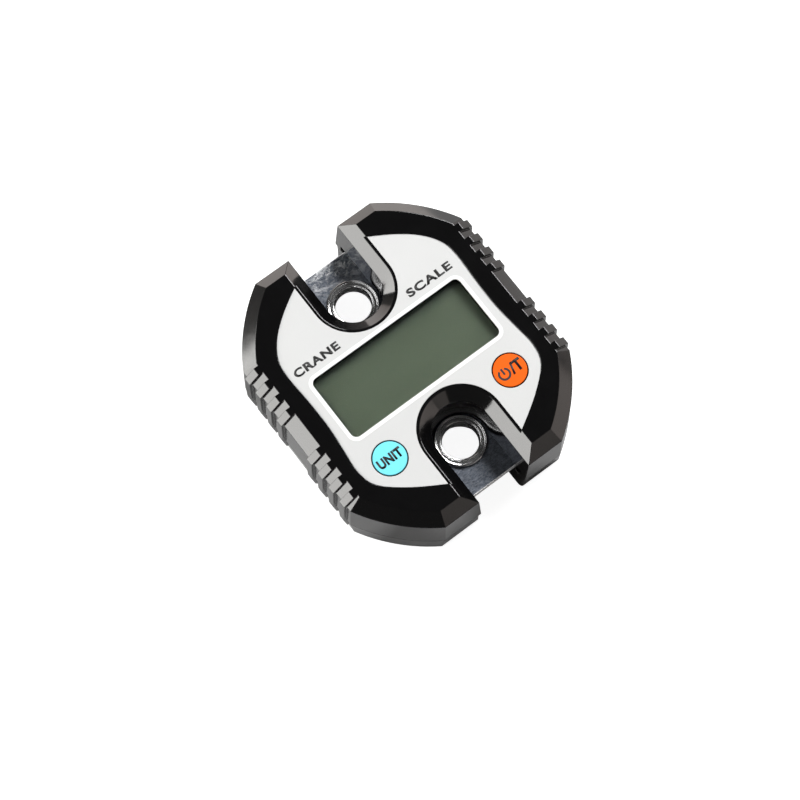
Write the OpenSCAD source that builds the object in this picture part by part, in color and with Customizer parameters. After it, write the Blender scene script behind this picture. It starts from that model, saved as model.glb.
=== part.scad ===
// Palm-size crane scale, lying on its back.
// Z = 0 is the back face, +Z leaves the display, +Y points to the display top.
// All lengths in millimetres.

/* [Case outline] */
// Height of the closed case, back face to front face
case_h = 31; // [28:0.5:36]
// Height of the joint line between the two shells
split_z = 10; // [9.5:0.5:12]
// Half length of the flat front face
face_y = 48.05; // [44:0.05:60]
// Half width of the flat front face between the grip ribs
face_x = 41; // [38:0.5:50]
// Radius of the long corner arcs, measured on the front face
corner_r = 58; // [46:0.5:64]
// Distance of each corner arc centre past the middle, across the case
corner_cx = -9.4; // [-12:0.1:0]
// Distance of each corner arc centre from the middle, along the case
corner_cy = -0.2; // [-2:0.1:9]
// Width of the bevel around the front face
bevel_w = 4.74; // [2:0.02:5.2]
// Height of the bevel
bevel_h = 4.42; // [2:0.02:5]
// Extra width of the case at the joint line, from the moulding draft
draft_out = 0.65; // [0:0.05:1]
// Wall thickness of both shells
wall = 2; // [1.6:0.1:2.4]
// Thickness of the front face
face_t = 2.2; // [1.8:0.1:2.6]
// Thickness of the back face
back_t = 2; // [1.8:0.1:2.4]

/* [Notches] */
// Half width of a notch on the front face
notch_r = 14.87; // [13:0.1:18]
// Distance of the notch arc centre from the middle
notch_y = 30.2; // [28:0.1:34]
// Half width of a notch below the bevel
throat_r = 10.32; // [9:0.1:13]
// Half width of a notch at the joint line
throat_low = 9.3; // [8.5:0.05:12]
// Half width of a notch at the back face
throat_back = 8.9; // [7.5:0.1:10]
// Corner radius of the back shell at each notch mouth
mouth_r = 2.5; // [0.5:0.1:4]

/* [Grip ribs] */
// Ribs in each of the four groups
rib_n = 4; // [2:1:4]
// Distance from the middle to the first rib
rib_y = 6.95; // [4:0.05:10]
// Spacing of the ribs
rib_pitch = 5.97; // [5:0.01:8]
// Width of one rib
rib_w = 2.8; // [1.5:0.05:3]
// Height of a rib above the side wall
rib_out = 1; // [0.6:0.1:1.6]
// Reach of a rib past the flat face
rib_face = 1.8; // [1:0.1:2.5]
// Corner radius of a rib
rib_r = 0.5; // [0.2:0.05:0.8]

/* [Front label and window] */
// Depth of the label pocket
pocket_d = 0.65; // [0.5:0.05:1]
// Thickness of the label
label_t = 0.4; // [0.2:0.05:0.5]
// Distance of the label's edge from the notch edge
label_gap = 0.37; // [0.1:0.01:0.6]
// Depth of the groove along the joint line
groove = 0.18; // [0.1:0.02:0.3]
// Width of the display opening
win_w = 60.9; // [50:0.1:61]
// Height of the display opening
win_h = 24.6; // [20:0.1:25]
// Distance of the display opening above the middle
win_y = 0.3; // [-1:0.05:1]
// Corner radius of the display opening
win_r = 2.2; // [1:0.1:4]

/* [Keys] */
// Position of the power key across the case
power_x = 24.7; // [22:0.1:27]
// Position of the unit key across the case
unit_x = -25.2; // [-27:0.1:-22]
// Position of both keys along the case
key_y = -24; // [-25:0.1:-22]
// Diameter of a key cap
key_d = 11.4; // [9:0.1:12]
// Travel of a key
key_travel = 0.4; // [0.2:0.05:0.6]

/* [Load plate] */
// Thickness of the steel plate
plate_t = 3; // [2:0.1:3]
// Width of the plate
plate_w = 22; // [20:0.2:22.4]
// Half length of the plate
plate_y = 47.8; // [44:0.1:48.5]
// Distance of the plate centre above the case centre
plate_dy = 0.25; // [0:0.05:1]
// Height of the plate's back face above the joint line
plate_up = 0.1; // [0:0.05:0.5]
// Distance of each eye from the plate centre
eye_y = 30.15; // [29.5:0.05:30.5]
// Radius of the eye bore
eye_r = 6.3; // [5:0.1:6.6]
// Outer radius of the eye ring
eye_out = 9.3; // [8.6:0.1:9.4]

/* [Battery box] */
// Diameter of one cell
cell_d = 10.5; // [10:0.1:10.5]
// Length of one cell
cell_l = 44.5; // [44:0.1:44.5]
// Position of the battery box across the case
box_x = 26.9; // [26.5:0.1:27.5]
// Opening angle of the door in the assembly
door_angle = 0; // [0:5:90]

/* [Hidden] */
$fn = 48;
eps = 0.02;
bev_z = case_h - bevel_h;
seat_z = case_h - pocket_d;
ceil_z = case_h - face_t;
label_z = seat_z + label_t;
plate_z = split_z + plate_up;
plate_top = plate_z + plate_t;
plate_mid = plate_top - plate_t / 2;
plate_room = 0.3;
slot_x = plate_w / 2 + 0.4;
slot_end = 50.4;
slot_wall = 1.6;
ring_rise = 1.25;
ring_room = 0.5;
joint_w = bevel_w + draft_out;
tongue = joint_w - wall - 0.22;
bev_in = wall / sin(atan(bevel_h / bevel_w));
notch_bev = notch_r - throat_r;
rib_end = face_x + joint_w + rib_out;
rib_top = case_h - bevel_h * (bevel_w + rib_out - rib_face) / bevel_w;
notch_in = wall / sin(atan(bevel_h / notch_bev));
case_screws_at = [[22, 41], [-22, 41], [22, -41], [-22, -41]];
board_screws_at = [[35.8, 10], [-35.8, 10], [35.8, -10], [-35.8, -10]];
plate_screws_at = [[7, 14 + plate_dy], [-7, 14 + plate_dy]];
eyes_at = [plate_dy + eye_y, plate_dy - eye_y];
case_screw_l = 14;
plate_screw_l = 8;
lens_t = 1.2;
lens_z = ceil_z - lens_t;
board_t = 1.6;
board_z = case_h - 9.5;
board_top = board_z + board_t;
lcd_t = 2;
lcd_z = lens_z - lcd_t - 0.15;
lcd_w = 62.4;
lcd_h = 26;
glass_h = 22.4;
frame_w = 66.4;
frame_h = 28;
zebra_y = 12.3;
zebra_w = 1.5;
zebra_l = 19.9;
box_w = 23;
box_l = 52;
box_top = 12.8;
hinge_y = box_l / 2 - 1;
hinge_z = 0.95;
hinge_pin_r = 0.5;
door_top = 1.75;
cell_z = 1.9 + cell_d / 2;
cell_gap = 10.9;
contact_y = box_l / 2 - 0.5;
keys_at = [power_x, unit_x];
switch_h = 3.4;
key_flange = 1.3;
key_post_d = 5;
stem_d = 3.4;
label_pts = [[14.4, 42.85], [22.8, 37.8], [30, 31.9], [34.4, 25.3], [35.4, 18.3], [34.9, 7.7],
    [34.8, -3.4], [35.7, -13.5], [36.3, -21.5], [34.1, -28.7], [25.6, -36.1], [14.4, -43]];

// ---------- shared shapes ----------

// Smooth curve through points p, n steps per span
function spline(p, n) = [for (i = [0:len(p) - 2]) for (k = [0:n - 1])
    let (t = k / n, a = p[max(i - 1, 0)], b = p[i], c = p[i + 1], d = p[min(i + 2, len(p) - 1)])
    (2 * b + (c - a) * t + (2 * a - 5 * b + 4 * c - d) * t * t
    + (3 * b - a - 3 * c + d) * t * t * t) / 2];
function label_edge(k) = let (s = concat(spline(label_pts, 4), [label_pts[len(label_pts) - 1]]))
    concat([for (p = s) k * p], [for (i = [len(s) - 1:-1:0]) [-k * s[i][0], k * s[i][1]]]);

// One quarter of the case: a corner turned about its own axis, trimmed by the
// end and side profiles. prof lists [offset from the face edge, height] and
// ends does the same for the flat ends and sides.
module quarter(prof, ends) {
    a = prof[0][1];
    b = prof[len(prof) - 1][1];
    intersection() {
        translate([corner_cx, corner_cy, 0]) rotate_extrude($fn = 160)
            polygon(concat([[0, a]], [for (p = prof) [corner_r + p[0], p[1]]], [[0, b]]));
        translate([-1, 0, 0]) rotate([90, 0, 90]) linear_extrude(60)
            polygon(concat([[-1, a]], [for (p = ends) [face_y + p[0], p[1]]], [[-1, b]]));
        translate([0, 59, 0]) rotate([90, 0, 0]) linear_extrude(60)
            polygon(concat([[-1, a]], [for (p = ends) [face_x + p[0], p[1]]], [[-1, b]]));
    }
}

module outline(prof, ends = undef) {
    for (mx = [0, 1], my = [0, 1]) mirror([mx, 0, 0]) mirror([0, my, 0])
        quarter(prof, is_undef(ends) ? prof : ends);
}

// Both U-shaped notches as one cutter. prof lists [half width, height].
module notches(prof) {
    a = prof[0][1];
    b = prof[len(prof) - 1][1];
    back = [for (i = [len(prof) - 1:-1:0]) [-prof[i][0], prof[i][1]]];
    for (my = [0, 1]) mirror([0, my, 0]) {
        translate([0, notch_y, 0]) rotate_extrude($fn = 96)
            polygon(concat([[0, a]], prof, [[0, b]]));
        translate([0, 70, 0]) rotate([90, 0, 0]) linear_extrude(70 - notch_y)
            polygon(concat(prof, back));
    }
}

// Four groups of ribs with rounded corners. prof lists [x, height] of one rib
// in section and reach is its outermost x.
module ribs(prof, reach) {
    for (mx = [0, 1], my = [0, 1]) mirror([mx, 0, 0]) mirror([0, my, 0])
        for (i = [0:rib_n - 1]) translate([0, rib_y + i * rib_pitch, 0]) intersection() {
            translate([0, rib_w, 0]) rotate([90, 0, 0]) linear_extrude(rib_w) polygon(prof);
            linear_extrude(case_h) {
                translate([face_x - 4, 0]) square([reach - rib_r - face_x + 4, rib_w]);
                for (y = [rib_r, rib_w - rib_r]) translate([reach - rib_r, y]) circle(rib_r, $fn = 24);
                translate([reach - 2 * rib_r, rib_r]) square([2 * rib_r, rib_w - 2 * rib_r]);
            }
        }
}

module rounded(w, h, r) {
    for (sx = [-1, 1], sy = [-1, 1]) translate([sx * (w / 2 - r), sy * (h / 2 - r)]) circle(r);
    square([w - 2 * r, h], center = true);
    square([w, h - 2 * r], center = true);
}

// Plan of one notch, open towards +Y
module bay(r) {
    translate([0, notch_y]) circle(r, $fn = 96);
    translate([-r, notch_y]) square([2 * r, 20]);
}

module slab(w, h, r, z, t) {
    translate([0, 0, z]) linear_extrude(t) rounded(w, h, r);
}

// Horizontal-axis box given by its two corners
module block(a, b) {
    translate(a) cube(b - a);
}

module tube(r, bore, z, top) {
    difference() {
        translate([0, 0, z]) cylinder(r = r, h = top - z);
        translate([0, 0, z - 1]) cylinder(r = bore, h = top - z + 2, $fn = 24);
    }
}

// Pan-head screw pointing up, head seat at z = 0, cross recess below
module screw(head_r, head_h, shank_r, len) {
    difference() {
        union() {
            translate([0, 0, -head_h]) cylinder(r1 = head_r * 0.82, r2 = head_r, h = head_h * 0.4);
            translate([0, 0, -head_h * 0.6]) cylinder(r = head_r, h = head_h * 0.6);
            translate([0, 0, -eps]) cylinder(r = shank_r, h = len - shank_r, $fn = 24);
            translate([0, 0, len - shank_r - eps])
                cylinder(r1 = shank_r, r2 = shank_r * 0.35, h = shank_r, $fn = 24);
        }
        for (a = [0, 90]) rotate(a) translate([0, 0, -head_h + head_h * 0.25])
            cube([head_r * 1.15, head_r * 0.28, head_h * 0.6], center = true);
    }
}

// Faces of a closed tube of n rings with m points each
function tube_faces(n, m) = concat([[for (k = [0:m - 1]) k]],
    [for (i = [0:n - 2]) for (k = [0:m - 1])
        [i * m + k, (i + 1) * m + k, (i + 1) * m + (k + 1) % m, i * m + (k + 1) % m]],
    [[for (k = [m - 1:-1:0]) (n - 1) * m + k]]);

// Round wire on a smooth curve through points p, no part of it along X
module wire(p, r) {
    c = concat(spline(p, 3), [p[len(p) - 1]]);
    n = len(c);
    m = 8;
    ring = [for (i = [0:n - 1]) let (t = c[min(i + 1, n - 1)] - c[max(i - 1, 0)],
        w = cross([1, 0, 0], t), u = w / norm(w), v = cross(u, t / norm(t)))
        for (k = [0:m - 1]) c[i] + r * (u * cos(360 * k / m) + v * sin(360 * k / m))];
    polyhedron(ring, tube_faces(n, m), convexity = 4);
}

// Coil spring along +Z with flat resting turns
module coil(r1, r2, wire_r, len, turns) {
    n = 18;
    m = 8;
    steps = n * turns;
    ring = [for (i = [0:steps]) let (u = i / steps, a = 360 * i / n, r = r1 + (r2 - r1) * u,
        z = wire_r + (len - 2 * wire_r) * u)
        for (k = [0:m - 1]) let (b = 360 * k / m)
            [(r + wire_r * cos(b)) * cos(a), (r + wire_r * cos(b)) * sin(a), z + wire_r * sin(b)]];
    polyhedron(ring, tube_faces(steps + 1, m), convexity = 6);
}

// ---------- case ----------

// Room for the load plate under both notches between two heights, with room
// around the raised eye rings as far as ring_z
module plate_slots(z0, z1, ring_z) {
    for (my = [0, 1]) mirror([0, my, 0]) block([-slot_x, notch_y - 14.7, z0], [slot_x, slot_end, z1]);
    for (y = eyes_at) translate([0, y, min(z0, ring_z)])
        cylinder(r = eye_out + 0.4, h = max(z1, ring_z) - min(z0, ring_z));
}

// Waste outside the rounding where a notch wall meets the end wall
module mouth_corner() {
    cx = throat_back + mouth_r;
    cy = face_y + joint_w - mouth_r;
    translate([0, 0, -1]) linear_extrude(split_z + 2) difference() {
        translate([cx - mouth_r - 2, cy]) square([mouth_r + 2, mouth_r + 2]);
        translate([cx, cy]) circle(mouth_r);
    }
}

module front_shell() {
    color([0.05, 0.05, 0.055]) {
        difference() {
            union() {
                outline([[joint_w - groove, split_z], [joint_w, split_z + groove],
                    [bevel_w, bev_z], [0, case_h]]);
                ribs([[face_x - 3, split_z], [rib_end - groove, split_z], [rib_end, split_z + groove],
                    [face_x + bevel_w + rib_out, rib_top], [face_x + rib_face, case_h], [face_x - 3, case_h]],
                    rib_end);
            }
            // hollow inside, stopping short of the notch walls
            difference() {
                outline([[joint_w - wall, split_z - 1], [bevel_w - wall, bev_z - 0.9],
                    [bevel_w * face_t / bevel_h - bev_in, ceil_z]]);
                notches([[slot_x + slot_wall, split_z - 2], [slot_x + slot_wall, plate_top + wall],
                    [throat_r + wall, plate_top + wall + 1], [throat_r + wall, bev_z - 0.92],
                    [notch_r - notch_bev * face_t / bevel_h + notch_in, ceil_z + eps]]);
            }
            notches([[throat_low, split_z - 1], [throat_low, split_z], [throat_r, bev_z],
                [notch_r + notch_bev / bevel_h, case_h + 1]]);
            // label pocket, running out into the notch bevels
            translate([0, 0, seat_z]) linear_extrude(2) polygon(label_edge(1));
            translate([0, win_y, 0]) slab(win_w, win_h, win_r, ceil_z - 1, 4);
            for (x = keys_at) translate([x, key_y, ceil_z - 1]) cylinder(d = key_d + 0.3, h = 4);
            // slots the load plate lies in, with room for its raised eye rings
            plate_slots(split_z - 1, plate_top + plate_room, plate_top + ring_rise + ring_room);
        }
        for (p = case_screws_at) translate(p) tube(3, 1.15, split_z, ceil_z + 0.1);
        for (p = board_screws_at) translate(p) tube(2.4, 0.95, board_top, ceil_z + 0.1);
        // guide collars around the keys
        for (x = keys_at) translate([x, key_y, 0]) difference() {
            translate([0, 0, ceil_z - 1.2]) cylinder(r = key_d / 2 + key_flange + 1.6, h = 1.3);
            translate([0, 0, ceil_z - 2]) cylinder(r = key_d / 2 + key_flange + 0.4, h = 3);
        }
    }
}

module rear_shell() {
    color([0.07, 0.07, 0.075]) {
        difference() {
            union() {
                difference() {
                    union() {
                        outline([[bevel_w + 0.1, 0], [bevel_w + 0.5, 0.6],
                            [joint_w, split_z - groove], [joint_w - groove, split_z]],
                            [[bevel_w - 0.3, 0], [bevel_w, 0.6],
                            [joint_w, split_z - groove], [joint_w - groove, split_z]]);
                        ribs([[face_x - 3, 0.4], [face_x + bevel_w - 0.4, 0.4],
                            [face_x + bevel_w + 0.55, 1.4],
                            [rib_end, split_z - groove], [rib_end - groove, split_z],
                            [face_x - 3, split_z]], rib_end);
                    }
                    // round the corners at each notch mouth
                    for (mx = [0, 1], my = [0, 1]) mirror([mx, 0, 0]) mirror([0, my, 0]) mouth_corner();
                    difference() {
                        outline([[bevel_w - 2.2, back_t], [joint_w - wall, split_z + 1]]);
                        notches([[slot_x + wall, -1], [slot_x + wall, split_z + 2]]);
                    }
                }
                // locating tongue that enters the front shell
                difference() {
                    outline([[tongue + 0.6, split_z - 1], [tongue + 0.6, split_z - 0.1],
                        [tongue, split_z], [tongue, split_z + 1.6]]);
                    outline([[tongue - 1.1, split_z - 2], [tongue - 1.1, split_z + 2]]);
                    block([-14, -60, 0], [14, 60, 20]);
                }
                // battery box standing on the back
                translate([box_x, 0, 0]) slab(box_w + 2.4, box_l + 2.4, 1, 0.5, box_top + 0.7);
                for (p = case_screws_at) translate([p[0], p[1], 0.5]) cylinder(r = 4, h = split_z - 0.5);
                for (p = plate_screws_at) translate([p[0], p[1], 1]) cylinder(r = 2.9, h = plate_z - 1);
            }
            notches([[throat_back, -1], [throat_back, 0],
                [throat_low, split_z], [throat_low, split_z + 1]]);
            plate_slots(plate_z - plate_room, split_z + 1, plate_z - ring_rise - ring_room);
            for (p = case_screws_at) translate(p) {
                translate([0, 0, -1]) cylinder(r = 2.7, h = 3.2);
                translate([0, 0, 1]) cylinder(r = 1.45, h = split_z, $fn = 24);
            }
            for (p = plate_screws_at) translate([p[0], p[1], plate_top - plate_screw_l - 0.6])
                cylinder(r = 1.05, h = plate_screw_l, $fn = 24);
            block([box_x - box_w / 2, -box_l / 2, -1], [box_x + box_w / 2, box_l / 2, box_top]);
            // slots for the contact tabs in the box ceiling
            for (s = [-1, 1]) translate([box_x + s * cell_gap / 2, contact_y + 0.25, 13])
                cube([2.6, 0.9, 4], center = true);
            // door hinge holes and the finger scoop
            translate([box_x - box_w / 2 - 1.1, hinge_y, hinge_z]) rotate([0, 90, 0])
                cylinder(r = hinge_pin_r + 0.06, h = box_w + 2.2, $fn = 20);
            translate([box_x, -box_l / 2 - 1.2, -2.4]) rotate([0, 90, 0])
                translate([0, 0, -5]) cylinder(r = 3.6, h = 10);
        }
    }
}

module front_label() {
    color([0.9, 0.9, 0.89]) translate([0, 0, seat_z]) linear_extrude(label_t) difference() {
        polygon(label_edge(0.997));
        for (my = [0, 1]) mirror([0, my]) bay(notch_r + label_gap);
        translate([0, win_y]) rounded(win_w + 0.1, win_h + 0.1, win_r);
        for (x = keys_at) translate([x, key_y]) circle(d = key_d + 1);
    }
}

// ---------- display ----------

module display_window() {
    color([0.55, 0.62, 0.55, 0.5]) translate([0, win_y, 0])
        slab(win_w + 2.4, win_h + 1.8, 1, lens_z, lens_t - 0.03);
}

module lcd_frame() {
    color([0.85, 0.85, 0.84]) translate([0, win_y, 0]) difference() {
        slab(frame_w, frame_h, 1, board_top + 0.05, lens_z - board_top - 0.1);
        slab(win_w + 1, win_h + 0.8, 1, lcd_z - 0.3, 8);
        slab(lcd_w + 0.2, lcd_h + 0.2, 0.4, lcd_z - 0.05, lcd_t + 0.1);
        // wells for the light and for the two contact strips
        slab(60, 22, 0.4, board_top - 1, 3.2);
        for (s = [-1, 1]) translate([-30.4, s * zebra_y - zebra_w / 2 - 0.15, board_top - 1])
            cube([60.8, zebra_w + 0.3, 5]);
    }
}

module lcd_panel() {
    color([0.45, 0.5, 0.42]) translate([0, win_y, lcd_z]) {
        translate([-lcd_w / 2, -glass_h / 2, 0]) cube([lcd_w, glass_h, 0.95]);
        translate([-lcd_w / 2, -lcd_h / 2, 1]) cube([lcd_w, lcd_h, 0.95]);
        translate([-lcd_w / 2 + 0.6, -glass_h / 2 + 0.4, 0.9]) cube([lcd_w - 1.2, glass_h - 0.8, 0.15]);
    }
}

module backlight_panel() {
    color([0.93, 0.95, 0.9]) translate([0.9, win_y, 0]) slab(57.4, 21.4, 0.3, board_top + 0.1, 1.9);
}

module backlight_leds() {
    color([0.95, 0.93, 0.7]) for (s = [-1, 1])
        translate([-29.8, win_y + s * 5 - 1.75, board_top]) cube([1.5, 3.5, 1.3]);
}

module zebra_strips() {
    color([0.75, 0.5, 0.55]) for (s = [-1, 1]) for (i = [0:2])
        translate([-30 + i * (zebra_l + 0.1), win_y + s * zebra_y - zebra_w / 2, board_top])
            cube([zebra_l, zebra_w, lcd_z + 1 - board_top]);
}

// ---------- electronics ----------

module main_board() {
    color([0.1, 0.35, 0.18]) difference() {
        translate([0, 0, board_z]) linear_extrude(board_t) difference() {
            polygon([[-38, 15], [38, 15], [38, -27], [34, -31], [-34, -31], [-38, -27]]);
            translate([0, -notch_y]) circle(13.5, $fn = 64);
            translate([-13.5, -60]) square([27, 30]);
        }
        for (p = board_screws_at) translate([p[0], p[1], board_z - 1]) cylinder(r = 1.15, h = 4, $fn = 24);
    }
}

// Chip with leads along two or four sides, hanging under the board
module chip(w, h, t, n, four) {
    translate([-w / 2, -h / 2, -t]) cube([w, h, t - 0.1]);
    for (q = four ? [0, 90, 180, 270] : [0, 180]) rotate(q)
        for (i = [0:n - 1]) translate([(i - (n - 1) / 2) * (w - 1.6) / (n - 1) - 0.15, h / 2 - 0.2, -t / 2])
            union() {
                cube([0.3, 0.7, 0.2]);
                translate([0, 0.5, 0]) cube([0.3, 0.2, t / 2]);
                translate([0, 0.5, t / 2 - 0.2]) cube([0.3, 0.8, 0.2]);
            }
}

module main_chip() {
    color([0.1, 0.1, 0.11]) translate([-4, -2, board_z]) chip(12, 12, 1.5, 11, true);
}

module converter_chip() {
    color([0.12, 0.12, 0.13]) translate([-22, 8, board_z]) chip(9.9, 3.9, 1.5, 8, false);
}

module memory_chip() {
    color([0.11, 0.11, 0.12]) translate([9, 8, board_z]) chip(4.9, 3.9, 1.4, 4, false);
}

module crystal_can() {
    color([0.75, 0.75, 0.77]) translate([10, -4, board_z - 3.4]) {
        linear_extrude(3.0) rounded(10.2, 3.8, 1.85);
        translate([0, 0, 2.9]) linear_extrude(0.5) rounded(11, 4.6, 2.2);
    }
}

module ceramic_capacitors() {
    at = [[-14, 10], [-14, 6], [-31, 3], [15, 11], [17, 3], [-4, -12], [20, -6]];
    color([0.7, 0.6, 0.45]) for (p = at) translate([p[0] - 1, p[1] - 0.6, board_z - 0.9])
        cube([2, 1.25, 0.9]);
}

module chip_resistors() {
    color([0.08, 0.08, 0.08]) for (i = [0:5])
        translate([-31 + 3.1 * i, -9, board_z - 0.5]) cube([1.2, 2, 0.5]);
}

module bulk_capacitor() {
    color([0.15, 0.17, 0.3]) translate([-31, -16, board_z - 5.4]) {
        cylinder(r = 2.5, h = 5.3);
        translate([-2.65, -2.65, 4.9]) cube([5.3, 5.3, 0.5]);
    }
}

module buzzer() {
    color([0.08, 0.08, 0.09]) translate([-24, -1, board_z]) difference() {
        translate([0, 0, -5.5]) cylinder(r = 4.5, h = 5.5);
        translate([0, 0, -6]) cylinder(r = 0.9, h = 1.5);
    }
}

module cell_connector() {
    color([0.92, 0.9, 0.84]) translate([0, 11.2, board_z]) difference() {
        translate([-5.2, -2, -4.6]) cube([10.4, 4, 4.6]);
        for (i = [0:3]) translate([-3.75 + i * 2.5, 0, -2.6]) cube([1.4, 1.4, 5], center = true);
    }
}

module cell_leads() {
    colour = [[0.75, 0.1, 0.08], [0.1, 0.1, 0.1], [0.85, 0.85, 0.85], [0.1, 0.5, 0.2]];
    for (i = [0:3]) color(colour[i]) {
        from = i * 1.5 - 2.25;
        to = i * 2.5 - 3.75;
        wire([[from, 3.3 + plate_dy, plate_top + 0.55], [from, 5.5 + plate_dy, plate_top + 1.4],
            [to, 9.8, plate_top + 2], [to, 11.2, plate_top + 3.2], [to, 11.2, board_z - 3]], 0.45);
    }
}

// ---------- keys ----------

module key(x, tint) {
    foot = board_top + switch_h + 0.9;
    color(tint) translate([x, key_y, 0]) difference() {
        union() {
            translate([0, 0, ceil_z - 0.9]) cylinder(d = key_d, h = label_z - ceil_z + 0.9);
            translate([0, 0, ceil_z - 0.95]) cylinder(d = key_d + 2 * key_flange, h = 0.9);
            translate([0, 0, foot]) cylinder(d = key_post_d, h = ceil_z - 0.5 - foot);
        }
        translate([0, 0, ceil_z - 2]) difference() {
            cylinder(d = key_d - 2.4, h = 1.7);
            cylinder(d = key_post_d, h = 3);
        }
    }
}

module switch_stem(x) {
    color([0.12, 0.12, 0.12]) translate([x, key_y, board_top + switch_h - 0.7]) cylinder(d = stem_d, h = 1.6);
}

module power_key() {
    key(power_x, [1, 0.38, 0.08]);
}

module unit_key() {
    key(unit_x, [0.45, 0.9, 1]);
}

module power_switch_stem() {
    switch_stem(power_x);
}

module unit_switch_stem() {
    switch_stem(unit_x);
}

module switch_bodies() {
    color([0.2, 0.2, 0.2]) for (x = keys_at) translate([x, key_y, board_top]) difference() {
        union() {
            translate([-3, -3, 0]) cube([6, 6, switch_h]);
            for (sx = [-1, 1], sy = [-1, 1])
                translate([sx * 3.6 - 0.7, sy * 2.25 - 0.35, 0]) cube([1.4, 0.7, 0.3]);
        }
        translate([0, 0, switch_h - 0.9 - key_travel]) cylinder(d = stem_d + 0.1, h = 2);
    }
}

// ---------- load plate ----------

module load_plate() {
    color([0.62, 0.64, 0.67]) difference() {
        translate([0, plate_dy, plate_z]) linear_extrude(plate_t) difference() {
            square([plate_w, 2 * plate_y], center = true);
            for (s = [-1, 1]) {
                translate([0, s * eye_y]) circle(eye_r + 0.95);
                // cross cut from one edge, ending in a round
                translate([s * (plate_w / 4 - 1.6) - (plate_w / 2 + 4) / 2, s * 8.6 - 0.8])
                    square([plate_w / 2 + 4, 1.6]);
                translate([-s * 3.6, s * 8.6]) circle(1.1, $fn = 24);
                translate([s * 2.3, 0]) circle(1.9, $fn = 32);
            }
            square([4.6, 1], center = true);
        }
        for (p = plate_screws_at) translate([p[0], p[1], plate_z - 1]) cylinder(r = 1.45, h = 6, $fn = 24);
    }
}

// Pressed ring with a rolled inner lip, a shallow valley and a rounded outer
// bead on both faces of the plate
module eye_ring(y) {
    lip = 0.18 * (eye_out - eye_r);
    bead = 0.22 * (eye_out - eye_r);
    face = concat([for (a = [180:-15:30]) [eye_r + lip + lip * cos(a), plate_t / 2 + ring_rise * sin(a)]],
        [for (a = [150:-15:0]) [eye_out - bead + bead * cos(a), plate_t / 2 + ring_rise * sin(a)]],
        [[eye_r + 0.9, plate_t / 2]]);
    under = [for (i = [len(face) - 1:-1:0]) [face[i][0], -face[i][1]]];
    color([0.86, 0.87, 0.88]) translate([0, y, plate_mid]) rotate_extrude($fn = 96)
        polygon(concat(face, under));
}

module upper_eye_ring() {
    eye_ring(eyes_at[0]);
}

module lower_eye_ring() {
    eye_ring(eyes_at[1]);
}

module strain_gauges() {
    color([0.75, 0.5, 0.2]) for (s = [-1, 1]) {
        translate([s * 6.4 - 1.6, plate_dy - 1.9, plate_top]) cube([3.2, 3.8, 0.12]);
        translate([s * 6.4 - 1.6, plate_dy - 1.9, plate_z - 0.12]) cube([3.2, 3.8, 0.12]);
    }
}

module gauge_sealant() {
    color([0.9, 0.9, 0.88]) difference() {
        translate([0, plate_dy, 0]) slab(19, 6.4, 2.4, plate_top, 1.3);
        for (s = [-1, 1]) translate([s * 6.4 - 1.65, plate_dy - 1.95, plate_top - 1]) cube([3.3, 3.9, 1.2]);
    }
}

module plate_screws() {
    color([0.75, 0.75, 0.76]) for (p = plate_screws_at) translate([p[0], p[1], plate_top])
        rotate([180, 0, 0]) screw(2.3, 1.5, 1, plate_screw_l);
}

// ---------- batteries ----------

module battery_door() {
    w = box_w - 0.6;
    y0 = -box_l / 2 + 0.3;
    color([0.07, 0.07, 0.075]) translate([box_x, hinge_y, hinge_z]) rotate([door_angle, 0, 0])
        translate([0, -hinge_y, -hinge_z]) {
            difference() {
                block([-w / 2, y0, 0.15], [w / 2, hinge_y, door_top]);
                // fine grip grooves near the opening end
                for (i = [0:3]) translate([-4, y0 + 2 + i * 1.6, -0.5]) cube([8, 0.7, 1]);
            }
            translate([-w / 2, hinge_y, hinge_z]) rotate([0, 90, 0]) cylinder(r = 0.8, h = w, $fn = 24);
            translate([-w / 2 - 0.9, hinge_y, hinge_z]) rotate([0, 90, 0])
                cylinder(r = hinge_pin_r, h = w + 1.8, $fn = 20);
            // latch tongue
            block([-1.3, y0 + 0.1, 1.5], [1.3, y0 + 1.1, 5.6]);
            block([-1.3, y0 - 0.1, 3.2], [1.3, y0 + 0.2, 4.2]);
            // stiffening ribs along the inside
            for (s = [-1, 1]) translate([s * (w / 2 - 0.7), 0, 0])
                block([-0.4, -21, door_top - 0.15], [0.4, 21, door_top + 0.85]);
        }
}

// One cell standing on its flat end, nub up
module cell() {
    rotate_extrude() polygon([[0, 0.25], [3.6, 0.25], [3.9, 0], [cell_d / 2 - 0.3, 0], [cell_d / 2, 0.4],
        [cell_d / 2, cell_l - 1.8], [cell_d / 2 - 0.4, cell_l - 1.3], [1.9, cell_l - 1.1],
        [1.9, cell_l - 0.1], [1.7, cell_l], [0, cell_l]]);
}

module battery_cells() {
    color([0.75, 0.6, 0.15]) for (s = [-1, 1])
        translate([box_x + s * cell_gap / 2, s * (cell_l - contact_y), cell_z])
            rotate([s * 90, 0, 0]) cell();
}

module battery_springs() {
    len = 2 * contact_y - cell_l - 0.1;
    color([0.82, 0.82, 0.84]) for (s = [-1, 1])
        translate([box_x + s * cell_gap / 2, s * (contact_y - 0.05), cell_z])
            rotate([s * 90, 0, 0]) coil(3.4, 2.3, 0.35, len, 5);
}

// Flat contact plate at a box end
module contact(x, y) {
    translate([x - 3.8, y, 3.4]) cube([7.6, 0.4, 9]);
}

module terminal_contacts() {
    color([0.8, 0.8, 0.82]) for (s = [-1, 1]) {
        contact(box_x + s * cell_gap / 2, contact_y + 0.05);
        translate([box_x + s * cell_gap / 2 - 1.1, contact_y + 0.05, 12]) cube([2.2, 0.4, 3.3]);
    }
}

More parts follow.
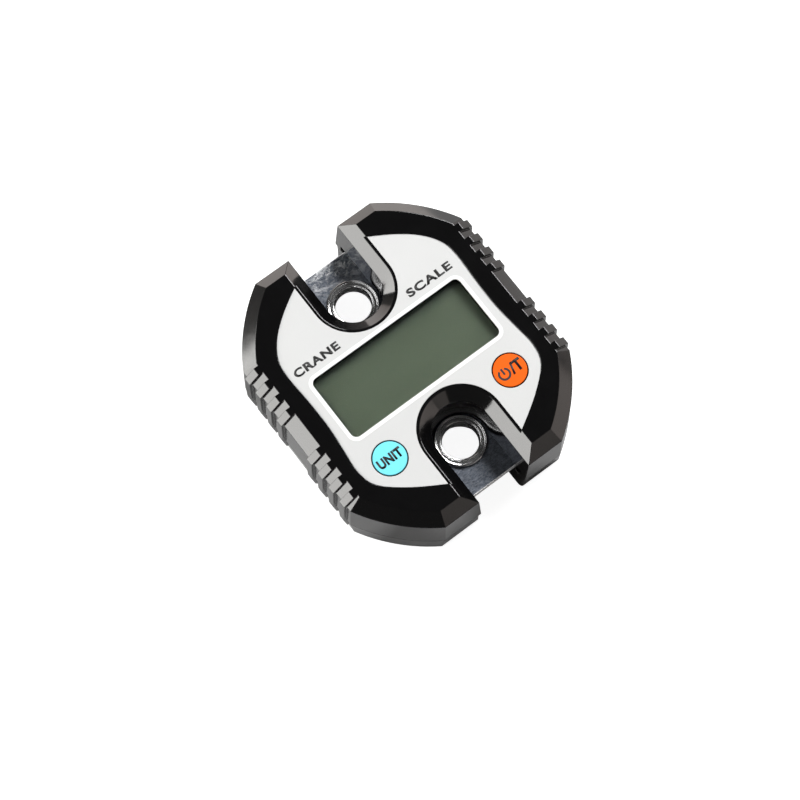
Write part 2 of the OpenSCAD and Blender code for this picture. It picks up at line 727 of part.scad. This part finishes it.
module battery_jumper() {
    color([0.8, 0.8, 0.82]) {
        for (s = [-1, 1]) contact(box_x + s * cell_gap / 2, -contact_y - 0.45);
        translate([box_x - 3, -contact_y - 0.45, 8]) cube([6, 0.4, 4]);
    }
}

// Insulated wire from a contact tab at x0 to the board at x1
module battery_lead(x0, x1) {
    wire([[x0, contact_y - 0.3, 14.8], [x0, 22, 15.4], [x1, 13.5, 15.7], [x1, 13.5, board_z - 0.3]], 0.55);
}

module battery_lead_red() {
    color([0.75, 0.08, 0.06]) battery_lead(box_x - cell_gap / 2, 20);
}

module battery_lead_black() {
    color([0.06, 0.06, 0.06]) battery_lead(box_x + cell_gap / 2, 25);
}

// ---------- fasteners ----------

module case_screws() {
    color([0.55, 0.55, 0.57]) for (p = case_screws_at) translate([p[0], p[1], 2.2])
        screw(2.4, 1.5, 1.1, case_screw_l);
}

module board_screws() {
    color([0.78, 0.78, 0.8]) for (p = board_screws_at) translate([p[0], p[1], board_z])
        screw(1.9, 1.3, 0.9, 5.4);
}

rear_shell();
front_shell();
front_label();
display_window();
lcd_frame();
lcd_panel();
backlight_panel();
backlight_leds();
zebra_strips();
main_board();
main_chip();
converter_chip();
memory_chip();
crystal_can();
ceramic_capacitors();
chip_resistors();
bulk_capacitor();
buzzer();
cell_connector();
cell_leads();
power_key();
power_switch_stem();
unit_key();
unit_switch_stem();
switch_bodies();
load_plate();
upper_eye_ring();
lower_eye_ring();
strain_gauges();
gauge_sealant();
plate_screws();
battery_door();
battery_cells();
battery_springs();
terminal_contacts();
battery_jumper();
battery_lead_red();
battery_lead_black();
case_screws();
board_screws();
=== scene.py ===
"""Looks of a palm-size crane scale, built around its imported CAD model."""

import math

import bmesh
import bpy
from mathutils import Matrix, Vector


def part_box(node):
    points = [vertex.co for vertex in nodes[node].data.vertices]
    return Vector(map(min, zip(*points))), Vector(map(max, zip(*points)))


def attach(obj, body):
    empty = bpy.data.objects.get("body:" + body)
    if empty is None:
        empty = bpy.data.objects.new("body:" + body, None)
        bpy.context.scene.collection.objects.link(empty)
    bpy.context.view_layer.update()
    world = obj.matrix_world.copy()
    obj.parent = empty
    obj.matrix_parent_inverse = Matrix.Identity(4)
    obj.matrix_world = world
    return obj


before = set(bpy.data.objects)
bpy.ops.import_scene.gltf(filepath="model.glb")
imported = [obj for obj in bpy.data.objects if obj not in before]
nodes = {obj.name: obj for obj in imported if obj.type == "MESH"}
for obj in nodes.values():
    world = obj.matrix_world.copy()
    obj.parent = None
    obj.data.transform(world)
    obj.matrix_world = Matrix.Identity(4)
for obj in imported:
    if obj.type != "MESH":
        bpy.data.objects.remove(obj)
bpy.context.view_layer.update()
MM = 0.001
UP = Vector((0, 0, 1))
scene = bpy.context.scene
scene.view_settings.view_transform = "Standard"


# ---------- camera and light ----------

# azimuth, elevation and roll in degrees, fitted to the photograph
CAMERA_VIEW = (-36.78, 73.77, -0.38)
CAMERA_LENS = 92.93
# metres from the middle of the front face, then millimetres to the left and down
CAMERA_BACK, CAMERA_LEFT, CAMERA_DOWN = 0.68483, 2.29, 14.02
# the softboxes stand round this point of the object
LIGHT_CENTRE = Vector((0, 0, 0.02))
# position and brightness of the world's stops, from the horizon to overhead
WORLD_STOPS = [(0.0, 0.18), (0.10, 0.12), (0.25, 0.07), (0.5, 0.05), (1.0, 0.035)]
WHITE = (1, 1, 1)
PINKISH = (1.0, 0.88, 0.82)
# the floor's lit sheet gives way to the table between these distances from the middle
SHEET_R, TABLE_R = 0.13, 0.26
# how bright the sheet glows to the camera, and to reflections in front and on the left
GLOW_SEEN, GLOW_NEAR, GLOW_LEFT = 0.92, 0.08, 0.28


def axes(azimuth, elevation, roll):
    """Right, up and back of a view, in degrees; azimuth 0 looks along +Y."""
    a, e, t = (math.radians(v) for v in (azimuth, elevation, roll))
    back = Vector((math.sin(a) * math.cos(e), -math.cos(a) * math.cos(e), math.sin(e)))
    right = (-back).cross(UP).normalized()
    up = right.cross(-back)
    return (math.cos(t) * right + math.sin(t) * up,
            -math.sin(t) * right + math.cos(t) * up, back)


def placed(right, up, back, where):
    """Matrix of something at a point, with these as its own X, Y and Z."""
    m = Matrix((right, up, back)).transposed().to_4x4()
    m.translation = where
    return m


def add_camera():
    right, up, back = axes(*CAMERA_VIEW)
    data = bpy.data.cameras.new("camera")
    data.sensor_width = 36
    data.lens = CAMERA_LENS
    data.clip_start, data.clip_end = 0.01, 50
    cam = bpy.data.objects.new("camera", data)
    scene.collection.objects.link(cam)
    top = Vector((0, 0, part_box("front_shell")[1].z))
    cam.matrix_world = placed(
        right, up, back,
        top + CAMERA_BACK * back - CAMERA_LEFT * MM * right - CAMERA_DOWN * MM * up)
    scene.camera = cam


def direction(azimuth, elevation):
    """Towards a light seen from the object at azimuth (0 is +Y, 90 is -X) and elevation."""
    a, e = math.radians(azimuth), math.radians(elevation)
    return Vector((-math.sin(a) * math.cos(e), math.cos(a) * math.cos(e), math.sin(e)))


def facing(out, where):
    """Matrix of a light at a point, shining against the direction out."""
    side = UP.cross(out).normalized()
    return placed(side, out.cross(side), out, where)


def rectangle(name, width, height, radiance, tint, matrix):
    """Rectangle light of even radiance, which the camera doesn't see itself."""
    data = bpy.data.lights.new(name, "AREA")
    data.shape = "RECTANGLE"
    data.size, data.size_y = width, height
    data.energy = radiance * math.pi * width * height
    data.color = tint
    o = bpy.data.objects.new(name, data)
    scene.collection.objects.link(o)
    o.matrix_world = matrix
    o.visible_camera = False


def softbox(name, azimuth, elevation, distance, width, height, radiance, tint):
    out = direction(azimuth, elevation)
    rectangle(name, width, height, radiance, tint, facing(out, LIGHT_CENTRE + distance * out))


def floor_card(name, x, y, width, height, radiance, tint):
    """Pale card lying on the floor beside the object, seen in its far bevels."""
    lying = placed(Vector((1, 0, 0)), Vector((0, -1, 0)), -UP, Vector((x, y, 0.001)))
    rectangle(name, width, height, radiance, tint, lying)


def sun(name, azimuth, elevation, strength, angle):
    out = direction(azimuth, elevation)
    data = bpy.data.lights.new(name, "SUN")
    data.energy = strength
    data.angle = math.radians(angle)
    o = bpy.data.objects.new(name, data)
    scene.collection.objects.link(o)
    o.matrix_world = facing(out, out)


def add_lights():
    softbox("key_left", azimuth=58, elevation=14, distance=0.75,
            width=0.82, height=0.36, radiance=5.9, tint=(1.0, 0.99, 0.965))
    softbox("card_front_right", azimuth=232, elevation=7, distance=1.1,
            width=1.25, height=0.30, radiance=0.80, tint=PINKISH)
    softbox("card_front", azimuth=189, elevation=17, distance=1.1,
            width=0.55, height=0.20, radiance=0.42, tint=(1.0, 0.90, 0.84))
    floor_card("card_far", x=0.33, y=0.42, width=0.76, height=0.64, radiance=0.95, tint=PINKISH)
    floor_card("card_right", x=0.43, y=-0.07, width=0.56, height=0.40, radiance=0.26,
               tint=(1.0, 0.84, 0.78))
    softbox("right_high", azimuth=-75, elevation=40, distance=1.0,
            width=0.8, height=0.28, radiance=4.0, tint=WHITE)
    softbox("left_high", azimuth=60, elevation=46, distance=0.75,
            width=0.6, height=0.42, radiance=2.2, tint=WHITE)
    sun("overhead", azimuth=-66, elevation=38, strength=4.0, angle=40)


def add_world():
    """Dark overhead, paler towards the horizon."""
    w = bpy.data.worlds.new("studio")
    scene.world = w
    w.use_nodes = True
    n, l = w.node_tree.nodes, w.node_tree.links
    n.clear()
    out = n.new("ShaderNodeOutputWorld")
    bg = n.new("ShaderNodeBackground")
    ramp = n.new("ShaderNodeValToRGB")
    sep = n.new("ShaderNodeSeparateXYZ")
    tc = n.new("ShaderNodeTexCoord")
    l.new(tc.outputs["Generated"], sep.inputs[0])
    l.new(sep.outputs["Z"], ramp.inputs[0])
    l.new(ramp.outputs[0], bg.inputs[0])
    l.new(bg.outputs[0], out.inputs[0])
    ramp.color_ramp.interpolation = "EASE"
    while len(ramp.color_ramp.elements) < len(WORLD_STOPS):
        ramp.color_ramp.elements.new(0.5)
    for stop, (place, v) in zip(ramp.color_ramp.elements, WORLD_STOPS):
        stop.position = place
        stop.color = (v, v * 0.985, v * 0.97, 1)


def add_floor():
    """White lit sheet round the object, which gives way to a darker table further out."""
    bm = bmesh.new()
    bmesh.ops.create_circle(bm, cap_ends=True, radius=4, segments=96)
    me = bpy.data.meshes.new("floor")
    bm.to_mesh(me)
    bm.free()
    o = bpy.data.objects.new("floor", me)
    scene.collection.objects.link(o)
    t = Tree("floor_lit_sheet")
    grain = t.noise(25, 2)
    sheet = t.mix(grain, (0.44, 0.44, 0.44), (0.46, 0.46, 0.46))
    x, y = t.axis("X"), t.axis("Y")
    squares = t.math("ADD", t.math("MULTIPLY", x, x), t.math("MULTIPLY", y, y))
    table = t.span(t.math("SQRT", squares), SHEET_R, TABLE_R)
    t.done(t.mix(table, sheet, (0.10, 0.095, 0.09)), t.span(grain, 0, 1, 0.6, 0.7), ior=1.3)
    # both glows for reflections start under the case's edge; the near one ends at the case's
    # middle on the right, and the left one about 3 cm past its middle on the far side
    near = t.math("MULTIPLY", t.span(y, -0.040, -0.050, 0, GLOW_NEAR), t.span(x, 0.0, -0.012))
    left = t.math("MULTIPLY", t.span(x, -0.040, -0.047, 0, GLOW_LEFT), t.span(y, 0.032, 0.022))
    ray = t.n.new("ShaderNodeLightPath")
    mirrored = t.math("MULTIPLY", ray.outputs["Is Glossy Ray"], t.math("MAXIMUM", near, left))
    # to the camera the whole floor is lit, so it reads white and its shadows stay faint
    seen = t.math("MULTIPLY", ray.outputs["Is Camera Ray"], GLOW_SEEN)
    glow = t.n.new("ShaderNodeEmission")
    t.link(t.math("ADD", seen, mirrored), glow.inputs["Strength"])
    add = t.n.new("ShaderNodeAddShader")
    t.link(t.b.outputs[0], add.inputs[0])
    t.link(glow.outputs[0], add.inputs[1])
    t.link(add.outputs[0], t.out.inputs[0])
    o.data.materials.append(t.m)


# ---------- materials ----------

class Tree:
    """Small helper around a material's node tree; lengths are in metres."""

    def __init__(self, name):
        self.m = bpy.data.materials.new(name)
        self.m.use_nodes = True
        self.n = self.m.node_tree.nodes
        self.l = self.m.node_tree.links
        self.n.clear()
        self.out = self.n.new("ShaderNodeOutputMaterial")
        self.b = self.n.new("ShaderNodeBsdfPrincipled")
        self.l.new(self.b.outputs[0], self.out.inputs[0])
        self.tc = self.n.new("ShaderNodeTexCoord")
        self.normal = None

    def link(self, value, socket):
        """Sets a number or colour on the socket itself, or links another node's output to it."""
        if isinstance(value, (int, float)):
            socket.default_value = value
        elif isinstance(value, tuple):
            socket.default_value = (*value, 1) if len(socket.default_value) == 4 else value
        else:
            self.l.new(value, socket)

    def coords(self, scale, turn=0.0):
        """The object's own coordinates, stretched and turned about Z, for streaks and scratches."""
        mp = self.n.new("ShaderNodeMapping")
        mp.inputs["Scale"].default_value = scale
        mp.inputs["Rotation"].default_value = (0, 0, math.radians(turn))
        self.l.new(self.tc.outputs["Object"], mp.inputs[0])
        return mp.outputs[0]

    def noise(self, scale, detail=2.0, rough=0.5, at=None, distort=0.0):
        t = self.n.new("ShaderNodeTexNoise")
        t.inputs["Scale"].default_value = scale
        t.inputs["Detail"].default_value = detail
        t.inputs["Roughness"].default_value = rough
        t.inputs["Distortion"].default_value = distort
        self.l.new(at or self.tc.outputs["Object"], t.inputs["Vector"])
        return t.outputs["Fac"]

    def math(self, op, a, b=0.0):
        t = self.n.new("ShaderNodeMath")
        t.operation = op
        for v, s in zip((a, b), t.inputs):
            self.link(v, s)
        return t.outputs[0]

    def span(self, v, lo, hi, a=0.0, b=1.0):
        """v from lo..hi to a..b, clamped."""
        t = self.n.new("ShaderNodeMapRange")
        for x, s in zip((v, lo, hi, a, b), t.inputs):
            self.link(x, s)
        return t.outputs[0]

    def mix(self, f, a, b):
        t = self.n.new("ShaderNodeMix")
        t.data_type = "RGBA"
        self.link(f, t.inputs[0])
        self.link(a, t.inputs[6])
        self.link(b, t.inputs[7])
        return t.outputs[2]

    def axis(self, name):
        """The object's own X, Y or Z, which is the frame's at rest."""
        t = self.n.new("ShaderNodeSeparateXYZ")
        self.l.new(self.tc.outputs["Object"], t.inputs[0])
        return t.outputs[name]

    def soften(self, radius):
        """Rounds edges in the shading; call it before bump."""
        t = self.n.new("ShaderNodeBevel")
        t.samples = 6
        t.inputs["Radius"].default_value = radius
        self.normal = t.outputs[0]

    def bump(self, height, strength, distance):
        t = self.n.new("ShaderNodeBump")
        t.inputs["Strength"].default_value = strength
        t.inputs["Distance"].default_value = distance
        self.l.new(height, t.inputs["Height"])
        if self.normal:
            self.l.new(self.normal, t.inputs["Normal"])
        self.normal = t.outputs[0]

    def done(self, colour, rough, metallic=0.0, ior=1.5, **more):
        self.link(colour, self.b.inputs["Base Color"])
        self.link(rough, self.b.inputs["Roughness"])
        self.link(metallic, self.b.inputs["Metallic"])
        self.b.inputs["IOR"].default_value = ior
        for k, v in more.items():
            self.b.inputs[k.replace("_", " ")].default_value = v
        if self.normal:
            self.l.new(self.normal, self.b.inputs["Normal"])
        return self.m


def shade(c, k):
    return tuple(min(1, v * k) for v in c)


def finish(name, colour, rough, metallic=0.0, ior=1.5, tint=0.06, tint_scale=300, vary=0.04,
           bump=0.15, bump_scale=2500, depth=0.00001, soften=0.0):
    """A moulded, painted or metal surface with mottled colour, uneven gloss and fine grain."""
    t = Tree(name)
    if soften:
        t.soften(soften)
    patch = t.noise(tint_scale, 4)
    col = t.mix(patch, shade(colour, 1 - tint), shade(colour, 1 + tint))
    rg = t.span(t.noise(tint_scale * 0.7, 3), 0.3, 0.7, max(0.02, rough - vary), rough + vary)
    t.bump(t.noise(bump_scale, 3), bump, depth)
    return t.done(col, rg, metallic, ior)


def case_black():
    """Piano-black moulded plastic with faint waviness, dust-fine grain and hairline wear."""
    t = Tree("case_black_gloss")
    t.soften(0.00032)
    wave = t.noise(90, 2, 0.4)
    grain = t.noise(6000, 2, 0.6)
    t.bump(t.math("ADD", wave, t.math("MULTIPLY", grain, 0.012)), 0.25, 0.00006)
    hair = t.span(t.noise(900, 2, 0.5, t.coords((1, 14, 1), 31), 0.6), 0.62, 0.8, 0, 0.05)
    rg = t.math("ADD", t.span(t.noise(140, 4), 0.35, 0.7, 0.075, 0.12), hair)
    col = t.mix(t.noise(500, 3), (0.0018, 0.0018, 0.0020), (0.0030, 0.0029, 0.0031))
    return t.done(col, rg, ior=1.74)


def label_silver():
    """Silver film: fine metallic flake, faint drawn grain, soft cloudiness."""
    t = Tree("label_silver_film")
    t.soften(0.00008)
    flake = t.noise(5200, 2, 0.7)
    cloud = t.noise(45, 3, 0.5)
    grain = t.noise(1500, 3, 0.6, t.coords((1, 7, 1)))
    col = t.mix(t.span(flake, 0.3, 0.7), (0.595, 0.598, 0.592), (0.65, 0.653, 0.647))
    col = t.mix(t.span(cloud, 0.3, 0.7, 0, 0.25), col, (0.70, 0.702, 0.698))
    col = t.mix(t.span(grain, 0.4, 0.75, 0, 0.12), col, (0.56, 0.565, 0.57))
    t.bump(flake, 0.12, 0.00001)
    return t.done(col, t.span(grain, 0.3, 0.7, 0.36, 0.46), metallic=0.12)


def plate_steel():
    """Zinc-plated steel: rolled grain, cross scratches, plating bloom at the far end brightened into a
    painted reflection, and a painted highlight along the end edges.
    """
    t = Tree("plate_zinc")
    t.soften(0.00015)
    along = t.noise(1700, 4, 0.65, t.coords((0.5, 1.8, 1)))
    cross = t.noise(2000, 4, 0.65, t.coords((3.0, 0.6, 1)))
    bloom_and_reflection = t.noise(420, 5, 0.75, t.coords((1, 1.4, 1), 20), 0.8)
    y = t.axis("Y")
    low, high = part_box("load_plate")
    half = (high.y - low.y) / 2
    reach = t.math("ABSOLUTE", t.math("SUBTRACT", y, (low.y + high.y) / 2))
    outer = t.math("MULTIPLY", t.span(reach, 0.036, 0.0455), t.span(y, 0.0, 0.04))
    # painted highlight: a thin white line along the sheared end edges stands in for the light they catch
    edge = t.span(reach, half - 0.00032, half - 0.00022)
    col = t.mix(t.span(along, 0.38, 0.62), (0.125, 0.14, 0.175), (0.29, 0.32, 0.375))
    # painted reflection: pale bloom patches only at the far (+Y) end, brighter there to stand in for a
    # bright reflection, over real plating mottle
    col = t.mix(t.math("MULTIPLY", t.span(bloom_and_reflection, 0.46, 0.60), outer), col, (0.95, 0.96, 0.97))
    col = t.mix(t.span(cross, 0.5, 0.68, 0, 0.45), col, (0.52, 0.55, 0.60))
    # painted highlight: the end edges turn white
    col = t.mix(edge, col, (1.0, 1.0, 1.0))
    rg = t.math("ADD", t.span(along, 0.3, 0.7, 0.32, 0.44), t.span(bloom_and_reflection, 0.4, 0.7, -0.05, 0.08))
    rg = t.math("ADD", rg, t.math("MULTIPLY", edge, 0.35))
    t.bump(t.math("ADD", along, t.math("MULTIPLY", cross, 0.6)), 0.35, 0.00002)
    return t.done(col, rg, metallic=0.96)


def lcd_glass():
    """Grey-green display, with painted shade along its far and left edges where the recess wall would
    shadow it.
    """
    t = Tree("lcd_green")
    # painted shade: a dark band along the far (+Y) and left (-X) edges stands in for the recess wall's
    # shadow
    far = t.span(t.axis("Y"), 0.0085, 0.0118)
    left = t.span(t.axis("X"), -0.0285, -0.0305)
    edge = t.math("MAXIMUM", far, left)
    grain = t.noise(2600, 2, 0.6)
    col = t.mix(grain, (0.140, 0.178, 0.118), (0.152, 0.193, 0.129))
    col = t.mix(t.math("MULTIPLY", edge, 0.55), col, (0.045, 0.062, 0.058))
    t.bump(grain, 0.05, 0.00001)
    return t.done(col, t.span(grain, 0.3, 0.7, 0.32, 0.4))


def window_clear():
    """Clear acrylic over the display."""
    t = Tree("window_acrylic")
    g = t.noise(1800, 2)
    t.bump(g, 0.03, 0.00001)
    return t.done(t.mix(g, (0.97, 0.985, 0.975), (0.99, 1.0, 0.99)),
                  t.span(g, 0.3, 0.7, 0.02, 0.05), ior=1.49, Transmission_Weight=1.0)


def board_green():
    """Solder mask with copper tracks showing through."""
    t = Tree("board_mask")
    wave = t.n.new("ShaderNodeTexWave")
    wave.inputs["Scale"].default_value = 260
    wave.inputs["Distortion"].default_value = 9
    wave.inputs["Detail"].default_value = 1
    t.link(t.tc.outputs["Object"], wave.inputs["Vector"])
    track = t.span(wave.outputs["Fac"], 0.6, 0.68)
    col = t.mix(track, (0.012, 0.10, 0.035), (0.03, 0.17, 0.06))
    t.bump(track, 0.2, 0.00003)
    return t.done(col, t.span(t.noise(300), 0.3, 0.7, 0.3, 0.42))


def cell_jacket():
    """Cell sleeve, copper-coloured towards both ends, with bare metal tips."""
    t = Tree("cell_sleeve")
    y = t.math("ABSOLUTE", t.axis("Y"))
    band = t.span(y, 0.0119, 0.0121)
    tip = t.span(y, 0.0205, 0.0207)
    n = t.noise(700, 3)
    col = t.mix(band, (0.02, 0.022, 0.026), (0.62, 0.36, 0.10))
    col = t.mix(tip, col, (0.72, 0.72, 0.73))
    col = t.mix(t.span(n, 0.4, 0.8, 0, 0.15), col, (0.3, 0.3, 0.3))
    t.bump(n, 0.1, 0.00002)
    metal = t.math("MAXIMUM", t.math("MULTIPLY", band, 0.7), tip)
    return t.done(col, t.span(n, 0.3, 0.7, 0.25, 0.38), metal)


def wires_mixed():
    """Four insulated leads, one colour each, told apart by where they lie across the scale."""
    t = Tree("wire_four_colours")
    # the leads fan out from 1.5 mm to 2.5 mm spacing along Y
    pitch = t.span(t.axis("Y"), 0.0055, 0.0098, 0.0015, 0.0025)
    k = t.math("ADD", t.math("DIVIDE", t.axis("X"), pitch), 2.0)
    col = t.mix(t.math("GREATER_THAN", k, 1.0), (0.55, 0.03, 0.02), (0.02, 0.02, 0.02))
    col = t.mix(t.math("GREATER_THAN", k, 2.0), col, (0.8, 0.8, 0.78))
    col = t.mix(t.math("GREATER_THAN", k, 3.0), col, (0.02, 0.30, 0.08))
    n = t.noise(1500, 2)
    t.bump(n, 0.1, 0.00002)
    return t.done(col, t.span(n, 0.3, 0.7, 0.38, 0.5))


def make_materials():
    """New materials by the name of the CAD material that each replaces."""
    key = dict(rough=0.42, ior=1.2, tint=0.04, tint_scale=500, bump=0.25, bump_scale=3500, soften=0.0003)
    return {
        "case_black": case_black(),
        "label_silver": label_silver(),
        "window_clear": window_clear(),
        "plate_steel": plate_steel(),
        "lcd_glass": lcd_glass(),
        "board_green": board_green(),
        "cell_jacket": cell_jacket(),
        "wire_mixed": wires_mixed(),
        "frame_white": finish("frame_white_abs", (0.78, 0.78, 0.76), 0.45, soften=0.0001),
        "diffuser": finish("diffuser_sheet", (0.86, 0.88, 0.84), 0.35),
        "led_cream": finish("led_cream", (0.85, 0.78, 0.45), 0.35),
        "zebra_pink": finish("zebra_rubber", (0.55, 0.28, 0.32), 0.6, tint=0.25, tint_scale=3000),
        "chip_black": finish("chip_epoxy", (0.022, 0.022, 0.024), 0.55, bump=0.3, soften=0.0001),
        "can_nickel": finish("can_nickel", (0.72, 0.71, 0.69), 0.22, 1.0, soften=0.0001),
        "cap_tan": finish("cap_ceramic", (0.42, 0.30, 0.17), 0.4, soften=0.0001),
        "cap_blue": finish("cap_sleeve", (0.03, 0.04, 0.12), 0.3, soften=0.0001),
        "connector_cream": finish("connector_nylon", (0.80, 0.76, 0.64), 0.45, soften=0.0001),
        "wire_red": finish("wire_red_pvc", (0.55, 0.03, 0.02), 0.42),
        "wire_black": finish("wire_black_pvc", (0.018, 0.018, 0.018), 0.42),
        "key_orange": finish("key_orange_pvc", (0.90, 0.125, 0.008), **key),
        "key_cyan": finish("key_cyan_pvc", (0.19, 0.72, 0.84), **key),
        "stem_black": finish("stem_nylon", (0.02, 0.02, 0.02), 0.4, soften=0.0001),
        "ring_chrome": finish("ring_nickel", (0.95, 0.95, 0.95), 0.20, 1.0, tint=0.07, tint_scale=900,
                              vary=0.05, bump=0.3, bump_scale=900, depth=0.00004, soften=0.0001),
        "gauge_copper": finish("gauge_foil", (0.72, 0.38, 0.16), 0.35, 0.8, tint=0.2, tint_scale=2500),
        "sealant_white": finish("sealant_silicone", (0.80, 0.80, 0.78), 0.5, bump=0.5, bump_scale=500,
                                depth=0.0002, soften=0.0004),
        "screw_steel": finish("screw_zinc", (0.62, 0.63, 0.65), 0.26, 1.0, tint=0.12, tint_scale=900,
                              soften=0.00012),
        "contact_nickel": finish("contact_nickel", (0.74, 0.72, 0.68), 0.24, 1.0, tint=0.1,
                                 tint_scale=700, soften=0.0001),
    }


# ---------- printed legends ----------

# thickness of the print; sizes and places here are in millimetres
INK = 0.03
# the display opening, its middle's Y, and the pale border around it
WINDOW_W, WINDOW_H, WINDOW_Y = 60.9, 24.6, 0.3
BORDER_OUT, BORDER_IN = 2.8, 0.3
BORDER_OUT_R, BORDER_IN_R = 3.4, 2.3
WORD_W, WORD_H, WORD_Y = 18.0, 3.1, 17.6
# power mark: an open ring with a bar in its gap, left of the middle of its key
RING_R, RING_HOLE_R, RING_GAP = 2.25, 1.5, 32
BAR_W, BAR_H = 0.7, 2.4
MARK_X, RING_Y, BAR_Y = -2.35, -0.2, 0.95


def curve_mesh(name, curve):
    """Mesh of a curve or text, which is then left out of the scene."""
    tmp = bpy.data.objects.new(name + "_tmp", curve)
    scene.collection.objects.link(tmp)
    bpy.context.view_layer.update()
    me = bpy.data.meshes.new_from_object(tmp.evaluated_get(bpy.context.evaluated_depsgraph_get()))
    bpy.data.objects.remove(tmp)
    return me


def flat_text(name, text, width, height, weight, at, body, mat, gap):
    """Lettering sized to width and height and centred at a point; weight thickens its strokes."""
    cu = bpy.data.curves.new(name, "FONT")
    cu.body = text
    cu.size = 1
    cu.offset = weight
    cu.space_character = gap
    cu.resolution_u = 6
    flat_piece(name, curve_mesh(name, cu), width, height, at, body, mat)


def flat_piece(name, me, width, height, at, body, mat):
    """Sizes a flat mesh, centres it at a point and gives it thickness; height 0 keeps its shape."""
    bm = bmesh.new()
    bm.from_mesh(me)
    bmesh.ops.remove_doubles(bm, verts=bm.verts, dist=1e-5)
    lo = [min(v.co[i] for v in bm.verts) for i in range(2)]
    hi = [max(v.co[i] for v in bm.verts) for i in range(2)]
    sx = width * MM / (hi[0] - lo[0])
    sy = height * MM / (hi[1] - lo[1]) if height else sx
    for v in bm.verts:
        v.co = Vector(((v.co.x - (lo[0] + hi[0]) / 2) * sx + at[0] * MM,
                       (v.co.y - (lo[1] + hi[1]) / 2) * sy + at[1] * MM, at[2] * MM))
    bmesh.ops.dissolve_limit(bm, angle_limit=0.001, verts=bm.verts, edges=bm.edges)
    grown = bmesh.ops.extrude_face_region(bm, geom=bm.faces[:])
    upper = [g for g in grown["geom"] if isinstance(g, bmesh.types.BMVert)]
    bmesh.ops.translate(bm, verts=upper, vec=(0, 0, INK * MM))
    bmesh.ops.recalc_face_normals(bm, faces=bm.faces)
    out = bpy.data.meshes.new(name)
    bm.to_mesh(out)
    bm.free()
    out.materials.append(mat)
    o = bpy.data.objects.new(name, out)
    scene.collection.objects.link(o)
    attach(o, body)


def outline_mesh(name, loops):
    """Flat mesh filling the area between closed loops of points, the first one outside."""
    cu = bpy.data.curves.new(name, "CURVE")
    cu.dimensions = "2D"
    cu.fill_mode = "BOTH"
    for pts in loops:
        sp = cu.splines.new("POLY")
        sp.points.add(len(pts) - 1)
        for p, (x, y) in zip(sp.points, pts):
            p.co = (x, y, 0, 1)
        sp.use_cyclic_u = True
    return curve_mesh(name, cu)


def arc(cx, cy, r, a0, a1, n):
    """n + 1 points round a centre, from angle a0 to a1 in degrees."""
    return [(cx + r * math.cos(math.radians(a0 + (a1 - a0) * i / n)),
             cy + r * math.sin(math.radians(a0 + (a1 - a0) * i / n))) for i in range(n + 1)]


def round_rect(w, h, r):
    pts = []
    for sx, sy, a in ((1, 1, 0), (-1, 1, 90), (-1, -1, 180), (1, -1, 270)):
        pts += arc(sx * (w / 2 - r), sy * (h / 2 - r), r, a, a + 90, 8)
    return pts


def key_top(name):
    """Middle of a key's upper face, in millimetres."""
    lo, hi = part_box(name)
    return (lo.x + hi.x) / 2 / MM, (lo.y + hi.y) / 2 / MM, hi.z / MM


def add_legends():
    ink = finish("legend_ink", (0.012, 0.012, 0.012), 0.5, tint=0.2, bump=0.1)
    white = finish("border_white", (0.86, 0.86, 0.86), 0.4, tint=0.01, tint_scale=900)
    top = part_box("front_label")[1].z / MM + 0.005
    for name, text, x in (("legend_crane", "CRANE", -24.3), ("legend_scale", "SCALE", 22.6)):
        flat_text(name, text, WORD_W, WORD_H, 0.040, (x, WORD_Y, top), "housing", ink, 1.12)
    w, h = WINDOW_W, WINDOW_H
    border = outline_mesh("window_border", [
        round_rect(w + BORDER_OUT, h + BORDER_OUT, BORDER_OUT_R),
        round_rect(w + BORDER_IN, h + BORDER_IN, BORDER_IN_R)])
    flat_piece("window_border", border, w + BORDER_OUT, h + BORDER_OUT,
               (0, WINDOW_Y, top - 0.004), "housing", white)
    flat_text("legend_unit", "UNIT", 9.3, 3.5, 0.045, key_top("unit_key"), "unit_key", ink, 1.05)
    x, y, z = key_top("power_key")
    start, end = 90 + RING_GAP, 450 - RING_GAP
    loop = arc(0, 0, RING_R, start, end, 40) + arc(0, 0, RING_HOLE_R, end, start, 40)
    flat_piece("legend_power_ring", outline_mesh("legend_power", [loop]), 2 * RING_R, 0,
               (x + MARK_X, y + RING_Y, z), "power_key", ink)
    bar = [(0, 0), (BAR_W, 0), (BAR_W, BAR_H), (0, BAR_H)]
    flat_piece("legend_power_bar", outline_mesh("bar", [bar]), BAR_W, BAR_H,
               (x + MARK_X, y + BAR_Y, z), "power_key", ink)
    flat_text("legend_tare", "/T", 4.8, 4.3, 0.040, (x + 2.45, y + 0.1, z), "power_key", ink, 1.0)


def main():
    add_camera()
    add_world()
    add_lights()
    add_floor()
    mats = make_materials()
    for o in nodes.values():
        for slot in o.material_slots:
            if slot.material and slot.material.name in mats:
                slot.material = mats[slot.material.name]
    add_legends()


main()
